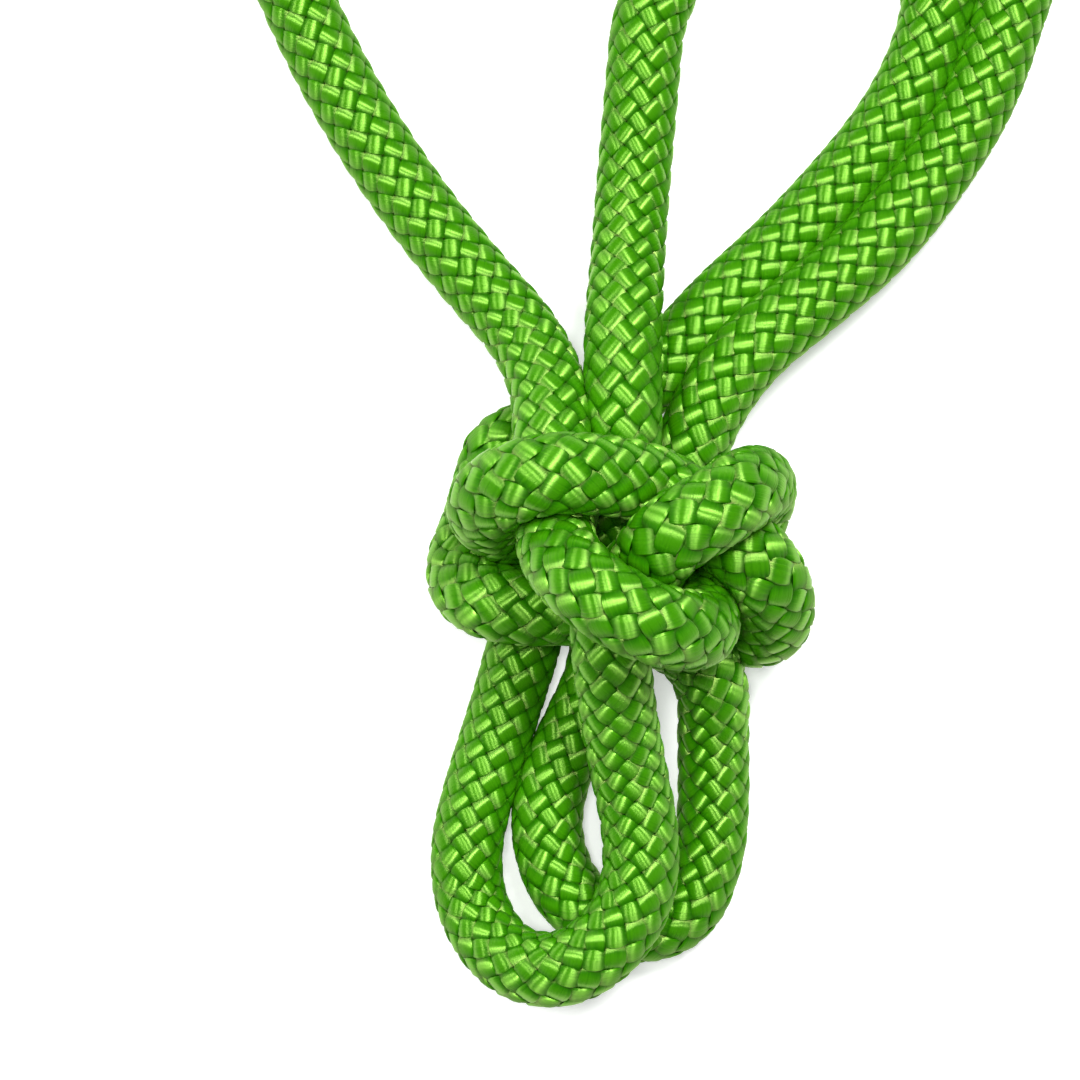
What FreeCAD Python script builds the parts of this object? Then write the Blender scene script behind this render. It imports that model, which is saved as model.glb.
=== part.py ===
"""Knotted length of dynamic climbing rope, lying on a flat surface.

A kernmantle rope: twelve core strands run side by side in the bore of a braided sheath, with an
identification tape and a year thread among them. The rope is tied near one end in a knot with two
loops, its spare length is wound in a coil, and both ends are melted and sleeved.
The frame is +Z up, with the origin on the surface, under the middle of everything.
"""
import FreeCAD, Part
import math
import os

Vector = FreeCAD.Vector

# Driving dimensions, in millimetres
rope_diameter = 10.0
sheath_wall = 1.4
tape_thickness = 0.10
tape_width = 3.0
year_thread_diameter = 0.24
tape_gap = 0.04          # between the tape and what lies on either side of it
strand_gap = 0.16        # between core strands of the outer ring
end_sleeve_length = 20.0
end_sleeve_wall = 0.6
end_sleeve_gap = 0.05
melted_tip_length = 2.0

# Counts
outer_strands = 9
inner_strands = 3

# The coil of spare rope, in rope diameters, apart from its angles in degrees
coil_centre = (0.85, 16.7)
coil_middle_radius = 5.7
turns_across = 3
layers = 2
entry_angle = -45.0
exit_angle = 90.0
stub_length = 4.2        # straight rope that stands out from the coil at either end

# The share of a run that each rounded corner of the path may use
corner_share = 0.45

# How high the middle of a sleeved end lies, in rope diameters
sleeved = 0.5 + (end_sleeve_gap + end_sleeve_wall) / rope_diameter

# The rope's route over the surface and through the knot, in rope diameters: (x, y, height)
left_strand = [
    (-4.1, 9.7, sleeved), (-3.7, 8.5, sleeved), (-3.2, 7.2, sleeved), (-2.5, 5.8, 0.5),
    (-1.7, 4.55, 0.5), (-0.95, 3.5, 0.6), (-0.35, 2.7, 0.9), (0.0, 1.95, 1.4), (0.1, 1.3, 1.8),
    (0.3, 0.6, 2.1),
]
lower_band = [
    (0.15, 0.0, 2.7), (0.4, -0.45, 3.65), (1.05, -0.9, 3.85), (1.6, -1.1, 3.6),
    (2.05, -1.15, 2.9), (2.0, -0.85, 2.0), (2.3, -0.25, 1.45), (2.7, 0.35, 1.45),
]
upper_right_band = [
    (2.95, 1.05, 2.1), (2.7, 0.95, 3.1), (2.25, 0.55, 3.5), (1.6, 0.1, 3.55), (1.35, -0.3, 2.85),
    (0.9, -0.85, 2.55), (0.9, -1.45, 2.5),
]
front_loop = [
    (0.95, -2.2, 2.1), (1.1, -3.0, 1.7), (1.25, -3.8, 1.55), (1.2, -4.55, 1.55),
    (0.85, -5.2, 1.55), (0.3, -5.55, 1.3), (-0.35, -5.4, 0.9), (-0.8, -4.85, 0.5),
    (-0.95, -4.15, 0.5), (-0.85, -3.35, 0.5), (-0.65, -2.6, 0.5), (-0.45, -1.9, 0.5),
    (-0.2, -1.2, 0.5),
]
upper_left_band = [
    (-0.15, -0.5, 0.5), (-0.1, 0.1, 1.05), (-0.7, 0.3, 1.75), (-0.85, 0.5, 2.6),
    (-0.45, 0.75, 3.2), (0.2, 0.9, 3.4), (0.85, 0.85, 3.05), (1.45, 0.75, 2.45), (2.0, 0.35, 2.4),
]
right_band = [
    (2.6, -0.1, 2.6), (3.0, -0.5, 2.4), (3.15, -1.0, 1.7), (2.95, -1.3, 1.1), (2.55, -1.15, 0.65),
    (2.2, -0.75, 0.5), (1.95, -0.15, 0.5), (2.0, 0.5, 0.6),
]
outer_right_strand = [
    (2.0, 1.2, 0.9), (2.35, 1.85, 1.0), (2.85, 2.5, 1.1), (3.55, 3.15, 1.0), (4.5, 3.95, 0.9),
    (5.25, 4.9, 0.7), (5.9, 5.95, 0.6), (6.3, 7.2, 0.5),
]
bight = [
    (6.65, 8.1, 0.5), (6.85, 8.9, 0.5), (6.6, 9.6, 0.5), (6.0, 9.95, 0.5), (5.35, 9.75, 0.5),
    (5.0, 9.15, 0.5), (5.0, 8.2, 0.5),
]
inner_right_strand = [
    (5.2, 7.2, 0.5), (4.95, 6.35, 0.5), (4.5, 5.55, 0.5), (3.85, 4.75, 0.5), (3.1, 3.95, 0.5),
    (2.3, 3.2, 0.5), (1.75, 2.45, 0.5),
]
rear_band = [
    (1.05, 1.85, 0.5), (0.25, 1.45, 0.5), (-0.5, 1.15, 0.5), (-0.85, 0.85, 0.5), (-1.1, 0.3, 0.6),
]
left_band = [
    (-1.15, -0.35, 0.85), (-0.9, -0.75, 1.4), (-0.2, -0.9, 1.6), (0.5, -0.85, 1.55),
    (1.1, -1.1, 1.5), (1.65, -1.45, 1.2),
]
rear_loop = [
    (1.95, -1.9, 0.95), (2.25, -2.55, 0.6), (2.3, -3.35, 0.5), (2.2, -4.15, 0.5),
    (1.8, -4.85, 0.5), (1.1, -5.0, 0.5), (0.5, -4.65, 0.5), (0.15, -4.0, 0.5), (0.25, -3.2, 0.5),
    (0.45, -2.5, 0.5), (0.7, -1.75, 0.5), (0.85, -1.05, 0.5), (0.9, -0.35, 0.5), (1.0, 0.35, 0.8),
]
middle_strand = [
    (1.1, 1.05, 1.4), (1.1, 1.8, 1.6), (1.1, 2.75, 1.4), (1.2, 3.85, 0.8), (1.3, 4.95, 0.5),
    (1.4, 6.05, 0.5), (1.5, 7.2, 0.5),
]
# The far end's way down from the coil, measured from the coil's stub: (along it, outwards, height)
tail = [
    (0.8, 0.0, 1.5), (1.6, -0.25, 1.25), (2.25, -0.9, 0.85), (2.6, -1.8, 0.6),
    (2.8, -2.6, sleeved), (2.95, -3.4, sleeved),
]

# What follows from the dimensions
rope_radius = rope_diameter / 2
bore_radius = rope_radius - sheath_wall
tape_inside_radius = bore_radius - tape_gap - tape_thickness
core_radius = tape_inside_radius - tape_gap
half_pitch = math.sin(math.pi / outer_strands)
strand_diameter = (2 * core_radius * half_pitch - strand_gap) / (1 + half_pitch)
outer_ring_radius = core_radius - strand_diameter / 2
inner_ring_radius = (strand_diameter + strand_gap) / 2 / math.sin(math.pi / inner_strands)
coil_outer_turn = coil_middle_radius + (turns_across - 1) / 2
stub_inset = 0.2         # keeps the coil's stubs clear of its own flat faces
coil_rim_rounding = 0.3 * rope_diameter


def in_rope_diameters(x, y, z):
    return Vector(x, y, z) * rope_diameter


def coil_directions(angle):
    """Outwards from the coil's centre at an angle, and the way its turns run there."""
    turn = math.radians(angle)
    outwards = Vector(math.cos(turn), math.sin(turn), 0)
    return outwards, Vector(-outwards.y, outwards.x, 0)


def on_outer_turn(angle, layer):
    outwards, _ = coil_directions(angle)
    middle = in_rope_diameters(*coil_centre, layer + 0.5)
    return middle + outwards * coil_outer_turn * rope_diameter


def knotted_points():
    """The route from the free end to the face of the coil's first stub."""
    listed = (
        left_strand + lower_band + upper_right_band + front_loop + upper_left_band + right_band
        + outer_right_strand + bight + inner_right_strand + rear_band + left_band + rear_loop
        + middle_strand
    )
    _, onwards = coil_directions(entry_angle)
    face = on_outer_turn(entry_angle, 0) - onwards * stub_length * rope_diameter
    return [in_rope_diameters(*point) for point in listed] + [face - onwards * rope_diameter, face]


def tail_points():
    """The route from the face of the coil's last stub to the far end."""
    outwards, onwards = coil_directions(exit_angle)
    face = on_outer_turn(exit_angle, layers - 1) + onwards * stub_length * rope_diameter
    surface = Vector(face.x, face.y, 0)
    return [face] + [
        surface + (onwards * along + outwards * out + Vector(0, 0, height)) * rope_diameter
        for along, out, height in tail
    ]


def rounded_path(points):
    """Straight runs joined by tangent bends, each as large as its two runs allow."""
    path = []
    start = points[0]
    for before, corner, after in zip(points, points[1:], points[2:]):
        arriving, leaving = corner - before, after - corner
        cut = corner_share * min(arriving.Length, leaving.Length)
        arriving.normalize()
        leaving.normalize()
        turn = arriving.getAngle(leaving)
        radius = cut / math.tan(turn / 2)
        axis = arriving.cross(leaving)
        axis.normalize()
        bend_start = corner - arriving * cut
        path.append({"start": start, "along": arriving, "length": (bend_start - start).Length})
        path.append({
            "start": bend_start,
            "along": arriving,
            "length": radius * turn,
            "centre": bend_start + axis.cross(arriving) * radius,
            "axis": axis,
            "turn": turn,
            "radius": radius,
        })
        start = corner + leaving * cut
    last = points[-1] - start
    length = last.Length
    last.normalize()
    return path + [{"start": start, "along": last, "length": length}]


def path_length(path):
    return sum(piece["length"] for piece in path)


def moved_along(shape, piece, share=1.0):
    """A copy of a shape, carried along a share of one piece of a path."""
    carried = shape.copy()
    if "turn" in piece:
        carried.rotate(piece["centre"], piece["axis"], math.degrees(piece["turn"]) * share)
    else:
        carried.translate(piece["along"] * piece["length"] * share)
    return carried


def swept_face(edge, piece, share=1.0):
    if "turn" in piece:
        return edge.revolve(piece["centre"], piece["axis"], math.degrees(piece["turn"]) * share)
    return edge.extrude(piece["along"] * piece["length"] * share)


def across(path):
    """Two directions square to a path at its start."""
    along = path[0]["along"]
    side = along.cross(Vector(0, 0, 1))
    side.normalize()
    return side, side.cross(along)


def ring_at(path, radius, offset=(0, 0)):
    """A circle square to the path at its start, shifted sideways and upwards."""
    side, up = across(path)
    centre = path[0]["start"] + side * offset[0] + up * offset[1]
    return Part.Wire(Part.makeCircle(radius, centre, path[0]["along"]))


def sweep(path, outline, hole=None, begin=0.0, end=None):
    """A solid with this section, and perhaps a hole, from one distance along a path to another."""
    end = path_length(path) if end is None else end
    wires = [outline] if hole is None else [outline, hole]
    faces = []

    def end_face(ring):
        face = Part.Face(ring[0])
        return face if hole is None else face.cut(Part.Face(ring[1])).Faces[0]

    passed = 0.0
    for piece in path:
        first = min(max(begin - passed, 0.0), piece["length"]) / piece["length"]
        last = min(max(end - passed, 0.0), piece["length"]) / piece["length"]
        if last > first:
            here = [moved_along(wire, piece, first) for wire in wires]
            if not faces:
                faces.append(end_face(here))
            faces += [swept_face(edge, piece, last - first) for wire in here for edge in wire.Edges]
            closing = [moved_along(wire, piece, last) for wire in wires]
        wires = [moved_along(wire, piece) for wire in wires]
        passed += piece["length"]
    faces.append(end_face(closing))
    skin = Part.makeCompound(faces)
    skin.sewShape()
    solid = Part.makeSolid(skin.Shells[0])
    if solid.Volume < 0:
        solid.reverse()
    return solid


def reversed_path(path):
    """The same path, walked from its other end."""
    back = []
    for piece in reversed(path):
        other = dict(piece)
        marker = Part.Vertex(piece["start"])
        other["start"] = moved_along(marker, piece).Point
        if "turn" in piece:
            arm = other["start"] - piece["centre"]
            other["axis"] = piece["axis"] * -1
            other["along"] = other["axis"].cross(arm)
            other["along"].normalize()
        else:
            other["along"] = piece["along"] * -1
        back.append(other)
    return back


def make_sheath(path, begin, end):
    return sweep(path, ring_at(path, rope_radius), ring_at(path, bore_radius), begin, end)


def strand_offsets():
    """Where each core strand lies across the rope: the inner ones first."""
    rings = [(inner_strands, inner_ring_radius, 0.0)]
    rings.append((outer_strands, outer_ring_radius, 180.0 / outer_strands))
    return [
        (radius * math.cos(angle), radius * math.sin(angle))
        for count, radius, first in rings
        for angle in [math.radians(first + 360.0 * i / count) for i in range(count)]
    ]


def make_strand(path, offset, begin, end):
    return sweep(path, ring_at(path, strand_diameter / 2, offset), None, begin, end)


def make_year_thread(path, begin, end):
    return sweep(path, ring_at(path, year_thread_diameter / 2), None, begin, end)


def make_tape(path, begin, end):
    """A flat tape that lies between the outer strands and the sheath."""
    side, up = across(path)
    half = tape_width / 2 / tape_inside_radius

    def corner(radius, angle):
        return path[0]["start"] + (side * math.cos(angle) + up * math.sin(angle)) * radius

    inside, outside = tape_inside_radius, tape_inside_radius + tape_thickness
    outline = Part.Wire([
        Part.Arc(corner(inside, -half), corner(inside, 0), corner(inside, half)).toShape(),
        Part.LineSegment(corner(inside, half), corner(outside, half)).toShape(),
        Part.Arc(corner(outside, half), corner(outside, 0), corner(outside, -half)).toShape(),
        Part.LineSegment(corner(outside, -half), corner(inside, -half)).toShape(),
    ])
    return sweep(path, outline, None, begin, end)


def make_melted_tip(path):
    """The rope's melted end, a disc with a rounded outer edge."""
    tip = Part.makeCylinder(rope_radius, melted_tip_length, path[0]["start"], path[0]["along"])
    outer_edge = min(tip.Edges, key=lambda edge: (edge.CenterOfMass - path[0]["start"]).Length)
    return tip.makeFillet(melted_tip_length / 3, [outer_edge])


def make_end_sleeve(path):
    inside = rope_radius + end_sleeve_gap
    return sweep(
        path,
        ring_at(path, inside + end_sleeve_wall),
        ring_at(path, inside),
        melted_tip_length / 2,
        melted_tip_length / 2 + end_sleeve_length,
    )


def make_coil():
    """The outer shape of the wound turns, with a short straight of rope standing out at each end."""
    middle = in_rope_diameters(*coil_centre, 0)
    height = layers * rope_diameter
    wide, narrow = (
        Part.makeCylinder((coil_middle_radius + side * turns_across / 2) * rope_diameter, height, middle)
        for side in (1, -1)
    )
    coil = wide.cut(narrow)
    rims = [edge for edge in coil.Edges if edge.Curve.TypeId == "Part::GeomCircle"]
    coil = coil.makeFillet(coil_rim_rounding, rims)
    stub_radius = rope_radius - stub_inset
    length = stub_length * rope_diameter
    for angle, layer, way in [(entry_angle, 0, -1), (exit_angle, layers - 1, 1)]:
        _, onwards = coil_directions(angle)
        stub = Part.makeCylinder(stub_radius, length, on_outer_turn(angle, layer), onwards * way)
        coil = coil.fuse(stub)
    return coil


def build_parts():
    knotted = rounded_path(knotted_points())
    far = rounded_path(tail_points())
    for piece in knotted + far:
        if "turn" in piece:
            print("bend radius %.1f mm, turn %.0f degrees"
                  % (piece["radius"], math.degrees(piece["turn"])))
    knotted_end, far_end = path_length(knotted), path_length(far) - melted_tip_length
    near = melted_tip_length
    parts = {
        "braided_sheath": [make_sheath(knotted, near, knotted_end)],
        "braided_sheath_tail": [make_sheath(far, 0.0, far_end)],
        "rope_coil": [make_coil()],
        "melted_tip_near": [make_melted_tip(knotted)],
        "melted_tip_far": [make_melted_tip(reversed_path(far))],
        "end_sleeve_near": [make_end_sleeve(knotted)],
        "end_sleeve_far": [make_end_sleeve(reversed_path(far))],
        "identification_tape": [make_tape(knotted, near, knotted_end), make_tape(far, 0.0, far_end)],
        "year_thread": [
            make_year_thread(knotted, near, knotted_end),
            make_year_thread(far, 0.0, far_end),
        ],
    }
    for number, offset in enumerate(strand_offsets(), 1):
        parts["core_strand_%02d" % number] = [
            make_strand(knotted, offset, near, knotted_end),
            make_strand(far, offset, 0.0, far_end),
        ]
    section = math.pi * (rope_radius ** 2 - bore_radius ** 2)
    print("sheath volume over section times length: %.5f"
          % (parts["braided_sheath"][0].Volume / section / (knotted_end - near)))
    print("rope outside the coil %.0f mm" % (knotted_end + path_length(far)))
    return parts


def write_parts(parts):
    """Each part in its own file, with the origin under the middle of the whole rope."""
    shapes = {
        name: solids[0] if len(solids) == 1 else Part.makeCompound(solids)
        for name, solids in parts.items()
    }
    box = Part.makeCompound(list(shapes.values())).optimalBoundingBox(True, False)
    os.makedirs("parts", exist_ok=True)
    for name, shape in shapes.items():
        shape.translate(Vector(-box.Center.x, -box.Center.y, 0))
        shape.exportStep("parts/%s.step" % name)
        print("%-22s volume %9.1f  valid %s" % (name, shape.Volume, shape.isValid()))
    print("overall %.1f x %.1f x %.1f mm, middle %.2f %.2f, lowest %.3f"
          % (box.XLength, box.YLength, box.ZLength, box.Center.x, box.Center.y, box.ZMin))


write_parts(build_parts())
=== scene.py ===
"""Knotted dynamic climbing rope, with its sheath braided yarn by yarn.

The rope's centreline is one NURBS spline. Sixteen flat yarns follow it, eight turning each way, and
pass over and under each other as on a plain braid. Lengths are in metres, and the route is in rope
diameters, as in the construction model.
"""
import bpy
import math
import numpy as np
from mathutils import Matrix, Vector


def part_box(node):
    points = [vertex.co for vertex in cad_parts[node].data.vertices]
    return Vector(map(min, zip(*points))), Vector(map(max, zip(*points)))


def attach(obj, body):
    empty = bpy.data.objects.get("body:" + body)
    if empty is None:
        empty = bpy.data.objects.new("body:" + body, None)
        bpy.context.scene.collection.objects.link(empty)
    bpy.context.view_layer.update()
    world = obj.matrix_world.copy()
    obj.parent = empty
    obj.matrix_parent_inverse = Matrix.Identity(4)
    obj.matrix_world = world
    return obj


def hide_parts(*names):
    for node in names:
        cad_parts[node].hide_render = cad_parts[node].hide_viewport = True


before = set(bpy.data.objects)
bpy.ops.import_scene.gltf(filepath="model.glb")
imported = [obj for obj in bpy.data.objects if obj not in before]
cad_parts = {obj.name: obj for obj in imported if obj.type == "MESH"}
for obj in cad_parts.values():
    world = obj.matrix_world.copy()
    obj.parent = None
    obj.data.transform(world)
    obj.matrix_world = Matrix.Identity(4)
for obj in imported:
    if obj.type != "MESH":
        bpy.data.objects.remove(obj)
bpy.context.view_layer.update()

# The rope
rope_diameter = 0.010
length_before_coil = 0.93

# The core: (how many strands, how far their middles lie from the rope's)
strand_rings = ((3, 0.00103), (9, 0.00261))
core_strand_radius = 0.00081
tape_radius = 0.00351
tape_width = 0.003
thread_radius = 0.00012

# The ends
end_sleeve_length = 0.020
end_sleeve_radius = 0.00565
end_sleeve_wall = 0.0006
sleeve_drawn_in = 0.985  # keeps the sleeve's relief within its radius
rim_rounding = 0.0003
rim_length = 0.0004
melted_tip_length = 0.002
tip_radius = 0.0049
tip_dome_height = 0.0007
relief_at_ends = 0.012   # how far the braid shows through a sleeve or tip, over the radius
relief_slant = 900.0     # in radians for each metre along the rope

# The coil of spare rope, in rope diameters, apart from its angles in degrees
coil_centre = (0.85, 16.7)
coil_middle_radius = 5.7
turns_across = 3
stub_length = 4.2
points_per_turn = 24
entry_angle = -45.0
last_angle = 1890.0      # five turns and a quarter past the first zero
inward_step = (265.0, 307.0)   # the angles of a turn at which the lower layer steps in
rise = (920.0, 980.0)          # where the rope climbs onto the lower layer
outward_step = (140.0, 195.0)  # the angles of a turn at which the upper layer steps out

# The braid, in rope diameters where it is a length
yarns_each_way = 8
braid_lead = 2.8         # along the rope, for one whole turn of a yarn
coverage = 1.02          # a yarn's width over the room that it has beside its neighbours
yarn_thickness = 0.034
yarn_crown = 0.008       # how much higher its middle is than its shoulders
yarn_lift = 0.030        # how far a yarn rises and dips about its middle
wave_flattening = 0.25   # how much longer a yarn stays at its top and bottom than on a plain wave
shoulder_power = 10      # the higher, the squarer a yarn's edges
painted_edge_shade = 0.15        # painted shade: how much darker a yarn's edges are painted than its middle
edge_power = 20          # the higher, the narrower the painted shade at the edge
yarn_middle_radius = 0.5 - yarn_lift - yarn_thickness / 2 - yarn_crown
inner_face_radius = 0.385
samples_per_lead = 100   # in the strands and the knot
samples_in_coil = 64
inner_face_step = 4      # the plainer pieces need only one reading in so many
inside_step = 10
across_yarn = (-1.0, -0.96, -0.85, 0.0, 0.85, 0.96, 1.0)
knot_swelling = 0.045    # how much wider the rope is pressed where it lies in the knot
knot_heights = (0.7, 1.6)  # how high the rope lies where the swelling sets in and is whole
drawn_slimmer = 0.03     # how much slimmer it is in the loops, where it was pulled tight
loop_depths = (1.2, 2.2)   # how far below the knot's middle the slimming sets in and is whole

# The picture
camera_height = 45       # in rope diameters, straight above the knot
camera_lens = 111.25
lamps = (                # name, place from the knot's middle, size and power
    ("key", (0.20, 0.34, 0.75), 0.24, 7.0),
    ("front", (-0.06, 0.06, 0.85), 0.18, 3.7),
    ("left", (-0.52, 0.16, 0.60), 0.26, 2.8),
)

# How high the middle of a sleeved end lies, in rope diameters
sleeved = end_sleeve_radius / rope_diameter

# The rope's route over the surface and through the knot, in rope diameters: (x, y, height)
left_strand = [
    (-4.1, 9.7, sleeved), (-3.72, 8.5, sleeved), (-3.25, 7.2, sleeved), (-2.55, 5.8, 0.5),
    (-1.7, 4.5, 0.5), (-0.85, 3.45, 0.6), (-0.18, 2.7, 0.9), (0.14, 1.95, 1.4), (0.15, 1.3, 1.8),
    (0.3, 0.6, 2.1),
]
lower_band = [
    (0.15, 0.0, 2.7), (0.4, -0.45, 3.65), (1.05, -0.9, 3.85), (1.6, -1.1, 3.6), (2.05, -1.15, 2.9),
    (2.0, -0.85, 2.0), (2.3, -0.3, 1.45), (2.72, 0.25, 1.45),
]
upper_right_band = [
    (2.82, 0.72, 2.1), (2.6, 0.66, 3.1), (2.2, 0.4, 3.5), (1.6, 0.05, 3.55), (1.35, -0.3, 2.85),
    (0.9, -0.85, 2.55), (0.9, -1.45, 2.5),
]
front_loop = [
    (1.0, -2.2, 2.1), (1.15, -3.0, 1.7), (1.32, -3.8, 1.55), (1.3, -4.6, 1.55), (0.87, -5.3, 1.55),
    (0.23, -5.68, 1.3), (-0.48, -5.55, 0.9), (-0.93, -4.9, 0.5), (-1.0, -4.1, 0.5),
    (-0.82, -3.35, 0.5), (-0.58, -2.6, 0.5), (-0.36, -1.9, 0.5), (-0.16, -1.2, 0.5),
]
upper_left_band = [
    (-0.15, -0.5, 0.5), (-0.1, 0.1, 1.05), (-0.6, 0.25, 1.75), (-0.72, 0.45, 2.6),
    (-0.4, 0.72, 3.2), (0.2, 0.85, 3.4), (0.85, 0.82, 3.05), (1.45, 0.72, 2.45), (2.0, 0.35, 2.4),
]
right_band = [
    (2.6, -0.1, 2.6), (2.95, -0.5, 2.4), (3.08, -0.98, 1.7), (2.88, -1.22, 1.1),
    (2.5, -1.1, 0.65), (2.2, -0.75, 0.5), (1.95, -0.15, 0.5), (2.0, 0.5, 0.6),
]
outer_right_strand = [
    (1.98, 1.2, 0.9), (2.28, 1.88, 1.0), (2.78, 2.54, 1.1), (3.55, 3.15, 1.0), (4.5, 3.95, 0.9),
    (5.25, 4.9, 0.75), (5.9, 5.95, 0.65), (6.3, 7.2, 0.55),
]
bight = [
    (6.65, 8.1, 0.5), (6.85, 8.9, 0.5), (6.6, 9.6, 0.5), (6.0, 9.95, 0.5), (5.35, 9.75, 0.5),
    (5.05, 9.15, 0.5), (5.15, 8.2, 0.5),
]
inner_right_strand = [
    (5.36, 7.2, 0.5), (5.1, 6.3, 0.5), (4.64, 5.48, 0.5), (3.96, 4.66, 0.5), (3.2, 3.86, 0.5),
    (2.38, 3.12, 0.5), (1.75, 2.4, 0.5),
]
rear_band = [
    (1.05, 1.85, 0.5), (0.25, 1.5, 0.5), (-0.52, 1.25, 0.5), (-0.66, 0.8, 0.5), (-0.8, 0.25, 0.6),
]
left_band = [
    (-1.07, -0.4, 0.85), (-0.84, -0.76, 1.4), (-0.2, -0.88, 1.6), (0.5, -0.85, 1.55),
    (1.15, -1.05, 1.5), (1.95, -1.3, 1.25),
]
rear_loop = [
    (2.3, -1.9, 0.95), (2.3, -2.6, 0.6), (2.32, -3.35, 0.5), (2.27, -4.18, 0.5),
    (1.95, -5.0, 0.5), (1.2, -5.22, 0.5), (0.4, -4.82, 0.5), (0.06, -4.0, 0.5), (0.15, -3.2, 0.5),
    (0.5, -2.5, 0.5), (0.85, -1.75, 0.5), (0.9, -1.05, 0.5), (0.9, -0.35, 0.5), (1.0, 0.35, 0.8),
]
middle_strand = [
    (1.08, 1.05, 1.4), (1.08, 1.8, 1.6), (1.08, 2.75, 1.4), (1.17, 3.85, 0.8),
    (1.26, 4.95, 0.5), (1.36, 6.05, 0.5), (1.46, 7.2, 0.5),
]

# The far end's way down from the coil, measured from the coil's stub: (along it, outwards, height)
tail = [
    (0.8, 0.0, 1.5), (1.6, -0.25, 1.25), (2.25, -0.9, 0.85), (2.6, -1.8, 0.6),
    (2.8, -2.6, sleeved), (2.95, -3.4, sleeved),
]


def smooth_share(value, low, high):
    """0 up to low, 1 from high on, and a smooth curve between."""
    share = np.clip((value - low) / (high - low), 0.0, 1.0)
    return share * share * (3 - 2 * share)


def coil_radius(angle):
    """The coil's radius at an angle counted on from its first turn, in rope diameters."""
    outer = coil_middle_radius + (turns_across - 1) / 2
    steps_in = sum(
        smooth_share(angle, inward_step[0] + 360 * turn, inward_step[1] + 360 * turn)
        for turn in range(turns_across - 1)
    )
    steps_out = sum(
        smooth_share(angle, outward_step[0] + 360 * turn, outward_step[1] + 360 * turn)
        for turn in range(turns_across, 2 * turns_across - 1)
    )
    return outer - steps_in + steps_out


def around_coil(angle, radius, height):
    turn = math.radians(angle)
    return np.array([
        coil_centre[0] + radius * math.cos(turn),
        coil_centre[1] + radius * math.sin(turn),
        height,
    ])


def onwards_at(angle):
    turn = math.radians(angle)
    return np.array([-math.sin(turn), math.cos(turn), 0.0])


def coil_points():
    """The coil's turns with the straight stub at either end, in rope diameters."""
    first = around_coil(entry_angle, coil_radius(entry_angle), 0.5)
    entering = [first - onwards_at(entry_angle) * stub_length * share for share in (1.0, 0.6, 0.25)]
    count = round((last_angle - entry_angle) / 360 * points_per_turn)
    turns = []
    for angle in np.linspace(entry_angle, last_angle, count + 1):
        height = 0.5 + smooth_share(angle, *rise)
        turns.append(around_coil(angle, coil_radius(angle), height))
    onwards = onwards_at(last_angle)
    leaving = [turns[-1] + onwards * stub_length * share for share in (0.25, 0.6, 1.0)]
    return entering + turns + leaving


def tail_points():
    """From the coil's last stub down to the far end, in rope diameters."""
    onwards = onwards_at(last_angle)
    outwards = np.array([onwards[1], -onwards[0], 0.0])
    face = around_coil(last_angle, coil_radius(last_angle), 0.0) + onwards * stub_length
    return [
        face + onwards * along + outwards * out + np.array([0.0, 0.0, height])
        for along, out, height in tail
    ]


def route_origin():
    """Where the route's own origin lies in the row frame, from the coil's box."""
    _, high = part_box("rope_coil")
    reach = coil_middle_radius + turns_across / 2
    return np.array([
        high[0] - (coil_centre[0] + reach) * rope_diameter,
        high[1] - (coil_centre[1] + reach) * rope_diameter,
        0.0,
    ])


def route_points():
    listed = (
        left_strand + lower_band + upper_right_band + front_loop + upper_left_band + right_band
        + outer_right_strand + bight + inner_right_strand + rear_band + left_band + rear_loop
        + middle_strand
    )
    points = [np.array(point) for point in listed] + coil_points() + tail_points()
    return [route_origin() + point * rope_diameter for point in points]


def read_spline(points):
    """The points of the smooth line that a NURBS spline makes of its control points."""
    curve = bpy.data.curves.new("rope_line", "CURVE")
    curve.dimensions = "3D"
    curve.resolution_u = 16
    spline = curve.splines.new("NURBS")
    spline.points.add(len(points) - 1)
    for place, point in zip(spline.points, points):
        place.co = (*point, 1.0)
    spline.order_u = 3
    spline.use_endpoint_u = True
    holder = bpy.data.objects.new("rope_line", curve)
    mesh = bpy.data.meshes.new_from_object(holder)
    line = np.array([vertex.co[:] for vertex in mesh.vertices])
    bpy.data.objects.remove(holder)
    bpy.data.curves.remove(curve)
    bpy.data.meshes.remove(mesh)
    return line


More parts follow.
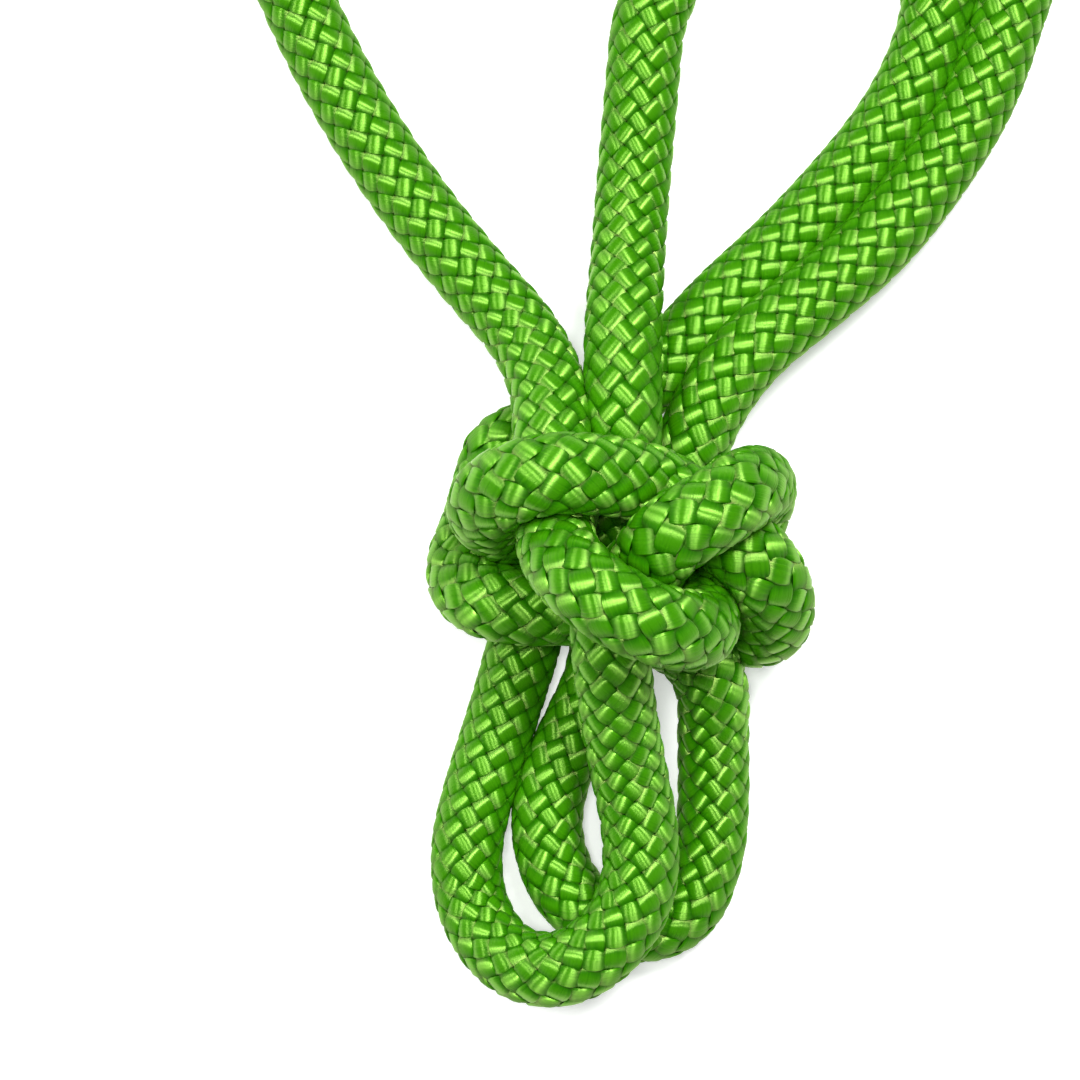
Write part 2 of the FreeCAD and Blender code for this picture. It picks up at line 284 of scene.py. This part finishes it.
class Line:
    """The rope's centreline, read closely up to the coil, with a frame that doesn't twist."""

    def __init__(self, points):
        gone = np.concatenate([[0.0], np.cumsum(np.linalg.norm(np.diff(points, axis=0), axis=1))])
        lead = braid_lead * rope_diameter
        self.length = gone[-1]
        before = np.arange(0.0, length_before_coil, lead / samples_per_lead)
        after = np.arange(length_before_coil, self.length, lead / samples_in_coil)
        self.along = np.concatenate([before, after, [self.length]])
        self.places = np.stack(
            [np.interp(self.along, gone, points[:, axis]) for axis in range(3)], axis=1
        )
        self.onwards = unit(np.gradient(self.places, axis=0))
        side = np.cross(self.onwards[0], (0.0, 0.0, 1.0))
        sides = []
        for onwards in self.onwards:
            side = side - onwards * side.dot(onwards)
            side = side / np.linalg.norm(side)
            sides.append(side)
        self.sides = np.array(sides)
        self.ups = np.cross(self.sides, self.onwards)
        pressed = smooth_share(self.places[:, 2] / rope_diameter, *knot_heights)
        depths = (route_origin()[1] - self.places[:, 1]) / rope_diameter
        drawn = smooth_share(depths, *loop_depths)
        self.width = rope_diameter * (1 + knot_swelling * pressed - drawn_slimmer * drawn)

    def readings(self, begin, end):
        """The numbers of the readings from begin to end along the line."""
        return np.flatnonzero((self.along >= begin) & (self.along <= end))

    def outwards(self, chosen, angles):
        """Directions square to the line, for each chosen reading and each angle round it."""
        return (
            np.cos(angles)[None, :, None] * self.sides[chosen][:, None]
            + np.sin(angles)[None, :, None] * self.ups[chosen][:, None]
        )


def unit(vectors):
    return vectors / np.linalg.norm(vectors, axis=-1, keepdims=True)


def full_circle(count):
    return np.linspace(0, 2 * math.pi, count, endpoint=False)


def strip_mesh(name, strips, closed=False, uv=None, painted_light_and_shade=None):
    """A mesh from strips, each made of rows of points, each row joined to the next."""
    here = np.arange(strips[..., 0].size).reshape(strips.shape[:-1])
    following = np.roll(here, -1, axis=2) if closed else here[:, :, 1:]
    first = here if closed else here[:, :, :-1]
    corners = [first[:, :-1], following[:, :-1], following[:, 1:], first[:, 1:]]
    faces = np.stack(corners, -1).reshape(-1, 4)
    mesh = bpy.data.meshes.new(name)
    mesh.vertices.add(here.size)
    mesh.vertices.foreach_set("co", strips.ravel())
    mesh.loops.add(faces.size)
    mesh.loops.foreach_set("vertex_index", faces.ravel())
    mesh.polygons.add(len(faces))
    mesh.polygons.foreach_set("loop_start", np.arange(0, faces.size, 4))
    mesh.polygons.foreach_set("use_smooth", np.ones(len(faces), dtype=bool))
    mesh.update(calc_edges=True)
    if uv is not None:
        layer = mesh.uv_layers.new(name="along_yarn")
        layer.data.foreach_set("uv", uv.reshape(-1, 2)[faces.ravel()].ravel())
    # Painted light and shade for each point, which the yarn's colour reads.
    if painted_light_and_shade is not None:
        attribute = mesh.attributes.new("painted_light_and_shade", "FLOAT", "POINT")
        attribute.data.foreach_set("value", painted_light_and_shade.ravel())
    piece = bpy.data.objects.new(name, mesh)
    bpy.context.scene.collection.objects.link(piece)
    return piece


def make_yarn(name, line, number, way, begin, end):
    """One flat yarn of the braid, turning one way round the rope."""
    chosen = line.readings(begin, end)
    along = line.along[chosen]
    width = line.width[chosen, None]
    lead = braid_lead * rope_diameter
    turned = 2 * math.pi * (number / yarns_each_way + way * along / lead)
    wave = np.cos(2 * math.pi * yarns_each_way * along / lead)
    lift = way * wave * (1 + wave_flattening - wave_flattening * wave * wave)
    radial = (
        np.cos(turned)[:, None] * line.sides[chosen] + np.sin(turned)[:, None] * line.ups[chosen]
    )
    middle_radius = yarn_middle_radius + yarn_lift * lift[:, None]
    middles = line.places[chosen] + radial * middle_radius * width
    forwards = unit(np.gradient(middles, axis=0))
    across = unit(np.cross(forwards, radial))
    outwards = np.cross(across, forwards)
    share = np.array(across_yarn)
    shoulders = yarn_thickness * (np.sqrt(1 - np.abs(share) ** shoulder_power) - 0.5)
    bulge = shoulders + yarn_crown * (1 - share * share)
    slant = np.sum(forwards * line.onwards[chosen], axis=1)[:, None]
    room = 2 * math.pi * middle_radius / yarns_each_way * slant
    reach = coverage / 2 * room * width
    rows = (
        middles[:, None]
        + across[:, None] * (share[None, :] * reach)[..., None]
        + outwards[:, None] * (bulge[None, :] * width)[..., None]
    )
    uv = np.stack(np.broadcast_arrays((share[None, :] + 1) / 2, along[:, None]), -1)
    # Painted highlight and shade: lighter where the yarn rides over another, darker where it dips
    # under and at its edges.
    painted_light_and_shade = (0.5 + 0.5 * lift[:, None]) * (1 - painted_edge_shade * share[None, :] ** edge_power)
    return strip_mesh(name, rows[None], uv=uv, painted_light_and_shade=painted_light_and_shade)


def make_inner_face(line, begin, end):
    """The sheath's inner face, seen only as the dark ground in the braid's gaps; its dark green is
    painted shade.
    """
    chosen = line.readings(begin, end)[::inner_face_step]
    radius = inner_face_radius * line.width[chosen, None, None]
    rows = line.places[chosen][:, None] + line.outwards(chosen, full_circle(16)) * radius
    return strip_mesh("sheath_inner_face_painted_shade", rows[None], closed=True)


def make_core(line, begin, end):
    """The core's twelve strands as one piece: three in the middle and nine round them."""
    chosen = line.readings(begin, end)[::inside_step]
    round_a_strand = line.outwards(chosen, full_circle(8)) * core_strand_radius
    strips = []
    for count, distance in strand_rings:
        for turn in full_circle(count):
            aside = line.outwards(chosen, np.array([turn])) * distance
            strips.append(line.places[chosen][:, None] + aside + round_a_strand)
    return strip_mesh("core_strands_visual", np.array(strips), closed=True)


def make_tape(line, begin, end):
    """The identification tape, laid flat against the core along one side."""
    chosen = line.readings(begin, end)[::inside_step]
    angles = np.linspace(-1, 1, 7) * tape_width / 2 / tape_radius
    rows = line.places[chosen][:, None] + line.outwards(chosen, angles) * tape_radius
    return strip_mesh("identification_tape_visual", rows[None])


def make_thread(line, begin, end):
    """The year thread, which runs down the very middle of the core."""
    chosen = line.readings(begin, end)[::inside_step]
    rows = line.places[chosen][:, None] + line.outwards(chosen, full_circle(8)) * thread_radius
    return strip_mesh("year_thread_visual", rows[None], closed=True)


def make_turned(name, line, at_end, profile):
    """A piece turned about one end of the rope, from (distance from the end, radius) pairs."""
    around = full_circle(64)
    rows = []
    for distance, radius in profile:
        place = line.length - distance if at_end else distance
        reading = np.searchsorted(line.along, place)
        beyond = place - line.along[reading]
        middle = line.places[reading] + line.onwards[reading] * beyond
        one_way = np.cos(yarns_each_way * around + relief_slant * distance)
        other_way = np.cos(yarns_each_way * around - relief_slant * distance)
        relief = 1 + relief_at_ends * one_way * other_way
        rows.append(middle + line.outwards([reading], around)[0] * radius * relief[:, None])
    return strip_mesh(name, np.array(rows)[None], closed=True)


def sleeve_profile():
    """The shrink sleeve: round the outside, over its rims and back inside."""
    begin = melted_tip_length / 2
    end = begin + end_sleeve_length
    outer = end_sleeve_radius * sleeve_drawn_in
    inner = end_sleeve_radius - end_sleeve_wall
    rim = outer - rim_rounding
    outside = [(place, outer) for place in np.linspace(begin + rim_length, end - rim_length, 40)]
    return [(begin, inner), (begin, rim)] + outside + [(end, rim), (end, inner)]


def tip_profile():
    """The melted tip: a low dome where the yarns and core have run together."""
    dome = [
        (tip_dome_height * (1 - math.sin(turn)), tip_radius * math.cos(turn))
        for turn in np.linspace(math.pi / 2 * 0.98, 0, 12)
    ]
    return dome + [(melted_tip_length * 0.8, tip_radius), (melted_tip_length, tip_radius * 0.97)]


def new_material(name):
    material = bpy.data.materials.new(name)
    material.use_nodes = True
    return material, material.node_tree.nodes, material.node_tree.links


def yarn_material():
    """Bright nylon filaments: fine lines along the yarn, with a painted highlight where the yarn
    rides over another and painted shade where it dips under.
    """
    material, nodes, links = new_material("green_nylon_yarn")
    shader = nodes["Principled BSDF"]
    place = nodes.new("ShaderNodeUVMap")
    place.uv_map = "along_yarn"
    filaments = nodes.new("ShaderNodeMapping")
    filaments.inputs["Scale"].default_value = (14.0, 230.0, 1.0)
    links.new(place.outputs["UV"], filaments.inputs["Vector"])
    lines = nodes.new("ShaderNodeTexNoise")
    lines.inputs["Scale"].default_value = 1.0
    lines.inputs["Detail"].default_value = 2.0
    links.new(filaments.outputs["Vector"], lines.inputs["Vector"])
    # The painted highlight and shade, which set how light the yarn's green is.
    painted_light_and_shade = nodes.new("ShaderNodeAttribute")
    painted_light_and_shade.attribute_name = "painted_light_and_shade"
    lines_and_painted_light = nodes.new("ShaderNodeMath")
    lines_and_painted_light.operation = "MULTIPLY_ADD"
    lines_and_painted_light.inputs[1].default_value = 0.5
    links.new(lines.outputs["Fac"], lines_and_painted_light.inputs[0])
    links.new(painted_light_and_shade.outputs["Fac"], lines_and_painted_light.inputs[2])
    share = nodes.new("ShaderNodeMath")
    share.operation = "MULTIPLY"
    share.inputs[1].default_value = 0.8
    links.new(lines_and_painted_light.outputs["Value"], share.inputs[0])
    # From painted shade at the dark stop to a painted highlight at the light stop, streaked by the
    # filament lines.
    tone = nodes.new("ShaderNodeValToRGB")
    set_ramp(tone.color_ramp, (
        (0.45, (0.002, 0.045, 0.000)),
        (0.80, (0.022, 0.210, 0.000)),
        (1.00, (0.060, 0.330, 0.002)),
    ))
    links.new(share.outputs["Value"], tone.inputs["Fac"])
    links.new(tone.outputs["Color"], shader.inputs["Base Color"])
    relief = nodes.new("ShaderNodeBump")
    relief.inputs["Strength"].default_value = 0.8
    relief.inputs["Distance"].default_value = 0.0001
    links.new(lines.outputs["Fac"], relief.inputs["Height"])
    links.new(relief.outputs["Normal"], shader.inputs["Normal"])
    grain = nodes.new("ShaderNodeTangent")
    grain.direction_type = "UV_MAP"
    grain.uv_map = "along_yarn"
    links.new(grain.outputs["Tangent"], shader.inputs["Tangent"])
    shader.inputs["Roughness"].default_value = 0.42
    shader.inputs["Anisotropic"].default_value = 1.0
    shader.inputs["IOR"].default_value = 1.8
    shader.inputs["Metallic"].default_value = 0.3
    shader.inputs["Specular IOR Level"].default_value = 1.0
    shader.inputs["Specular Tint"].default_value = (0.85, 1.0, 0.30, 1.0)
    return material


def set_ramp(ramp, stops):
    """Gives a colour ramp its stops: (position, colour)."""
    for place, (position, colour) in enumerate(stops):
        stop = ramp.elements[place] if place < 2 else ramp.elements.new(position)
        stop.position = position
        stop.color = (*colour, 1.0)


def mottled_material(name, dark, light, scale, roughness, relief=0.0):
    """A plain material that varies a little over the surface."""
    material, nodes, links = new_material(name)
    shader = nodes["Principled BSDF"]
    where = nodes.new("ShaderNodeTexCoord")
    patches = nodes.new("ShaderNodeTexNoise")
    patches.inputs["Scale"].default_value = scale
    patches.inputs["Detail"].default_value = 4.0
    links.new(where.outputs["Object"], patches.inputs["Vector"])
    tone = nodes.new("ShaderNodeValToRGB")
    set_ramp(tone.color_ramp, ((0.3, dark), (0.7, light)))
    links.new(patches.outputs["Fac"], tone.inputs["Fac"])
    links.new(tone.outputs["Color"], shader.inputs["Base Color"])
    shader.inputs["Roughness"].default_value = roughness
    if relief:
        bump = nodes.new("ShaderNodeBump")
        bump.inputs["Strength"].default_value = relief
        bump.inputs["Distance"].default_value = 0.0002
        links.new(patches.outputs["Fac"], bump.inputs["Height"])
        links.new(bump.outputs["Normal"], shader.inputs["Normal"])
    return material


def dress(piece, material):
    piece.data.materials.clear()
    piece.data.materials.append(material)


def make_camera(origin):
    """Straight above the knot, looking down, with the loops towards the picture's foot."""
    camera = bpy.data.objects.new("camera", bpy.data.cameras.new("camera"))
    camera.data.sensor_width = 36.0
    camera.data.lens = camera_lens
    camera.location = (origin[0], origin[1], camera_height * rope_diameter)
    bpy.context.scene.collection.objects.link(camera)
    bpy.context.scene.camera = camera


def make_lamp(name, place, target, size, power):
    """A round soft lamp that faces its target."""
    data = bpy.data.lights.new(name, "AREA")
    data.shape = "DISK"
    data.size = size
    data.energy = power
    lamp = bpy.data.objects.new(name, data)
    lamp.location = place
    away = place - target
    flat = math.hypot(away[0], away[1])
    tilt = math.atan2(flat, away[2])
    heading = math.atan2(away[1], away[0]) + math.pi / 2
    lamp.rotation_euler = (tilt, 0.0, heading)
    bpy.context.scene.collection.objects.link(lamp)


def make_stage(origin):
    """A plain pale floor and soft light from above and in front."""
    bpy.ops.mesh.primitive_circle_add(vertices=96, radius=3.0, fill_type="NGON", location=(0, 0, 0))
    floor = bpy.context.object
    floor.name = "floor"
    material, nodes, links = new_material("floor")
    shader = nodes["Principled BSDF"]
    shader.inputs["Base Color"].default_value = (0.8, 0.8, 0.8, 1.0)
    shader.inputs["Roughness"].default_value = 0.9
    shader.inputs["Specular IOR Level"].default_value = 0.0
    shader.inputs["Emission Color"].default_value = (1.0, 1.0, 1.0, 1.0)
    seen = nodes.new("ShaderNodeLightPath")
    straight_or_mirrored = nodes.new("ShaderNodeMath")
    straight_or_mirrored.operation = "ADD"
    links.new(seen.outputs["Is Camera Ray"], straight_or_mirrored.inputs[0])
    links.new(seen.outputs["Is Glossy Ray"], straight_or_mirrored.inputs[1])
    any_seen = nodes.new("ShaderNodeMath")
    any_seen.operation = "ADD"
    links.new(straight_or_mirrored.outputs["Value"], any_seen.inputs[0])
    links.new(seen.outputs["Is Transmission Ray"], any_seen.inputs[1])
    glow = nodes.new("ShaderNodeMath")
    glow.operation = "MULTIPLY"
    glow.inputs[1].default_value = 0.45
    links.new(any_seen.outputs["Value"], glow.inputs[0])
    links.new(glow.outputs["Value"], shader.inputs["Emission Strength"])
    dress(floor, material)
    world = bpy.data.worlds.new("world")
    world.use_nodes = True
    world.node_tree.nodes["Background"].inputs["Color"].default_value = (1.0, 1.0, 1.0, 1.0)
    world.node_tree.nodes["Background"].inputs["Strength"].default_value = 0.06
    bpy.context.scene.world = world
    for name, place, size, power in lamps:
        make_lamp(name, origin + np.array(place), origin, size, power)


def make_rope(line):
    """The braided rope: sixteen yarns over the sheath's inner face."""
    begin, end = melted_tip_length / 2, line.length - melted_tip_length / 2
    inner_face = make_inner_face(line, begin, end)
    # Its dark green is painted shade in the gaps between the yarns, far darker than the yarns' own
    # green.
    dress(inner_face, mottled_material(
        "sheath_inner_face_painted_shade", (0.003, 0.035, 0.001), (0.006, 0.060, 0.002), 900.0, 0.8, 0.3
    ))
    green = yarn_material()
    yarns = []
    for way, side in ((1, "right"), (-1, "left")):
        for number in range(yarns_each_way):
            yarn = make_yarn(f"sheath_yarn_{side}_{number + 1}", line, number, way, begin, end)
            dress(yarn, green)
            yarns.append(yarn)
    return inner_face, yarns


def make_ends(line):
    """A melted tip and a shrink sleeve at each end."""
    melted = mottled_material(
        "melted_nylon", (0.008, 0.06, 0.002), (0.02, 0.14, 0.004), 500.0, 0.22, 0.5
    )
    rubber = mottled_material(
        "shrink_sleeve", (0.012, 0.012, 0.012), (0.03, 0.03, 0.03), 700.0, 0.55, 0.25
    )
    pieces = []
    for place, at_end in (("near", False), ("far", True)):
        tip = make_turned(f"melted_tip_{place}_visual", line, at_end, tip_profile())
        sleeve = make_turned(f"end_sleeve_{place}_visual", line, at_end, sleeve_profile())
        dress(tip, melted)
        dress(sleeve, rubber)
        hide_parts(f"melted_tip_{place}")
        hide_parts(f"end_sleeve_{place}")
        pieces += [tip, sleeve]
    return pieces


def make_inside(line):
    """The core, with the tape against it and the thread down its middle."""
    begin, end = melted_tip_length, line.length - melted_tip_length
    core = make_core(line, begin, end)
    tape = make_tape(line, begin, end)
    thread = make_thread(line, begin, end)
    dress(core, mottled_material(
        "white_nylon_core", (0.72, 0.72, 0.68), (0.88, 0.88, 0.84), 1200.0, 0.5, 0.4
    ))
    dress(tape, mottled_material(
        "marker_tape", (0.72, 0.70, 0.55), (0.86, 0.84, 0.70), 300.0, 0.4
    ))
    dress(thread, mottled_material(
        "year_thread", (0.45, 0.05, 0.04), (0.70, 0.10, 0.08), 900.0, 0.6
    ))
    strands = [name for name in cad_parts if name.startswith("core_strand")]
    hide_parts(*strands)
    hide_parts("identification_tape")
    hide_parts("year_thread")
    return [core, tape, thread]


origin = route_origin()
make_camera(origin)
spline_points = read_spline(route_points())
line = Line(spline_points)
inner_face, yarns = make_rope(line)
ends = make_ends(line)
inside = make_inside(line)

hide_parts("braided_sheath", "braided_sheath_tail", "rope_coil")
for piece in [inner_face, *yarns, *ends, *inside]:
    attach(piece, "root")
make_stage(origin)

bpy.context.scene.view_settings.view_transform = "Standard"
